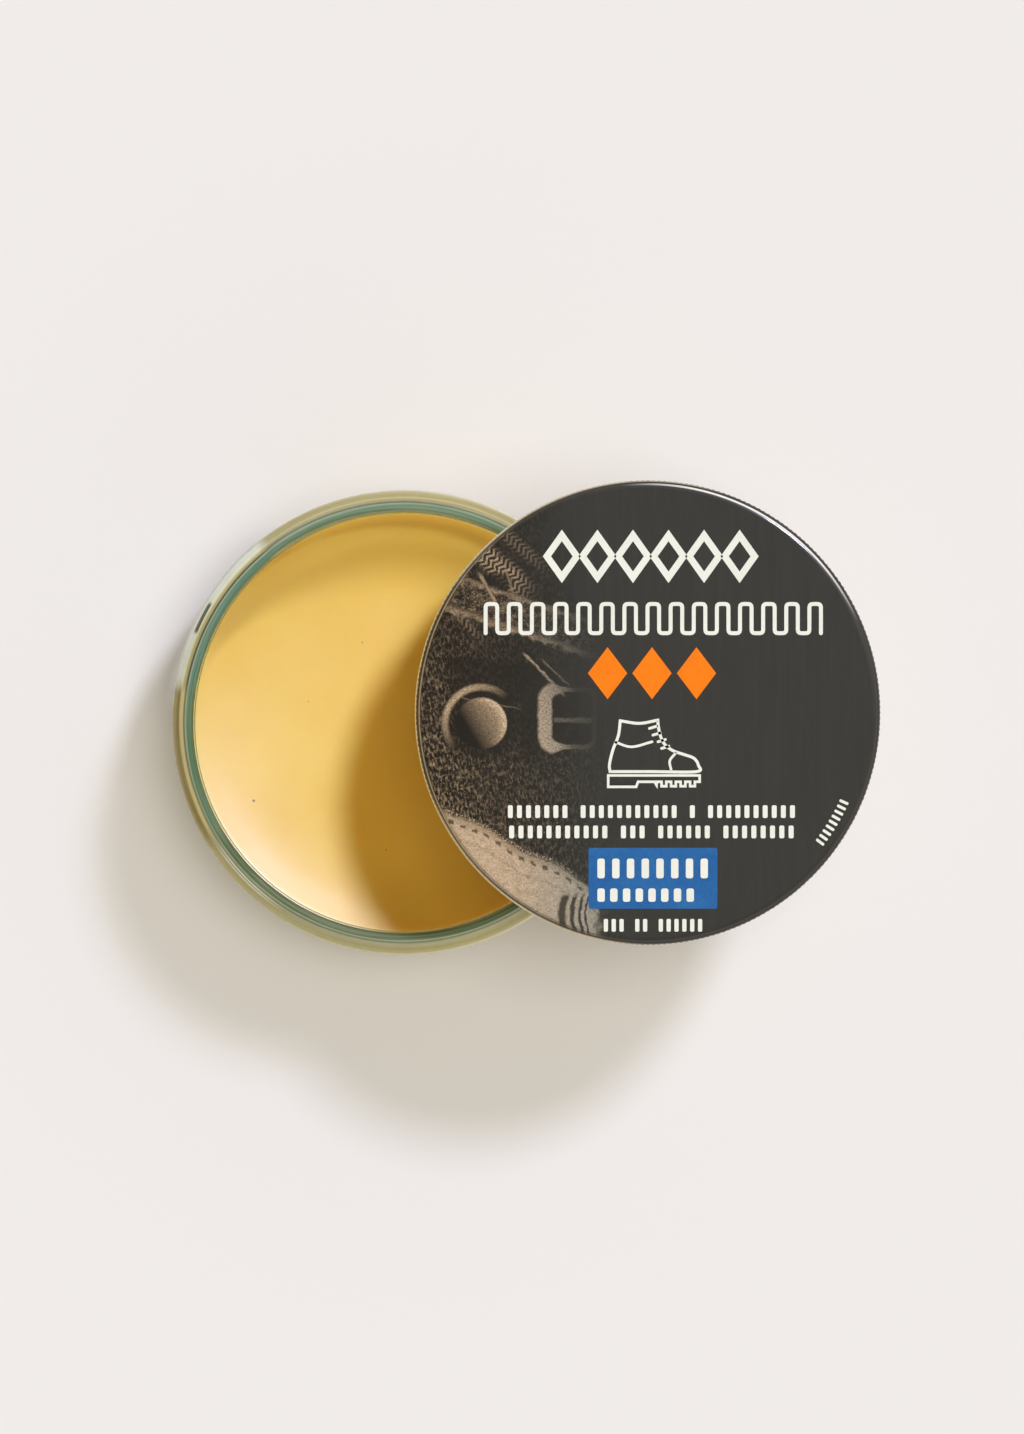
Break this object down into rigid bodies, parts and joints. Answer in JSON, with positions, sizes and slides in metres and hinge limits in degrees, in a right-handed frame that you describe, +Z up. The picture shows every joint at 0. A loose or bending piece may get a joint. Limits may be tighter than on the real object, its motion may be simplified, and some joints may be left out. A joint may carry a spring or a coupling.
{
  "type": "screw-lid shoe wax jar",
  "caption": "Squat round glass jar of hard shoe wax with its metal screw lid off, held level beside and above the mouth; the lid slides over and screws down to close.",
  "frame": {"origin": "centre of the jar's base, on the surface it stands on", "axes": "+Z up along the jar's axis; the open lid lies towards +X"},
  "size_m": [0.1135, 0.0763, 0.0613],
  "materials": {
    "jar_glass": "clear pressed glass with a faint green tint",
    "wax": "smooth satin yellow wax",
    "label_paper": "white coated paper label with plain printed marks",
    "lid_metal": "charcoal satin printed top over gold-lacquered tinplate",
    "liner_board": "pale pulp board",
    "disc_foam": "white foamed polyethylene sheet"
  },
  "bodies": {
    "jar": {"glass_jar": "jar_glass", "wax_fill": "wax", "side_label": "label_paper"},
    "seal": {"sealing_disc": "disc_foam"},
    "liner": {"liner_wad": "liner_board"},
    "lid": {"lid_shell": "lid_metal"}
  },
  "joints": [
    {"name": "lid_aside", "type": "slide", "parent": "jar", "child": "seal", "axis": [0.9676, 0.0399, 0.2494], "range_m": [-0.0401, 0.04]},
    {"name": "lid_lower", "type": "slide", "parent": "seal", "child": "liner", "axis": [0, 0, 1], "range_m": [-0.01005, 0]},
    {"name": "lid_turn", "type": "hinge", "parent": "liner", "child": "lid", "pos_m": [0.0388, 0.0016, 0], "axis": [0, 0, 1], "range_deg": [-720, 0]}
  ],
  "couplings": [
    {"joint": "lid_lower", "follows": "lid_turn", "m_per_rad": 0.00079577}
  ]
}
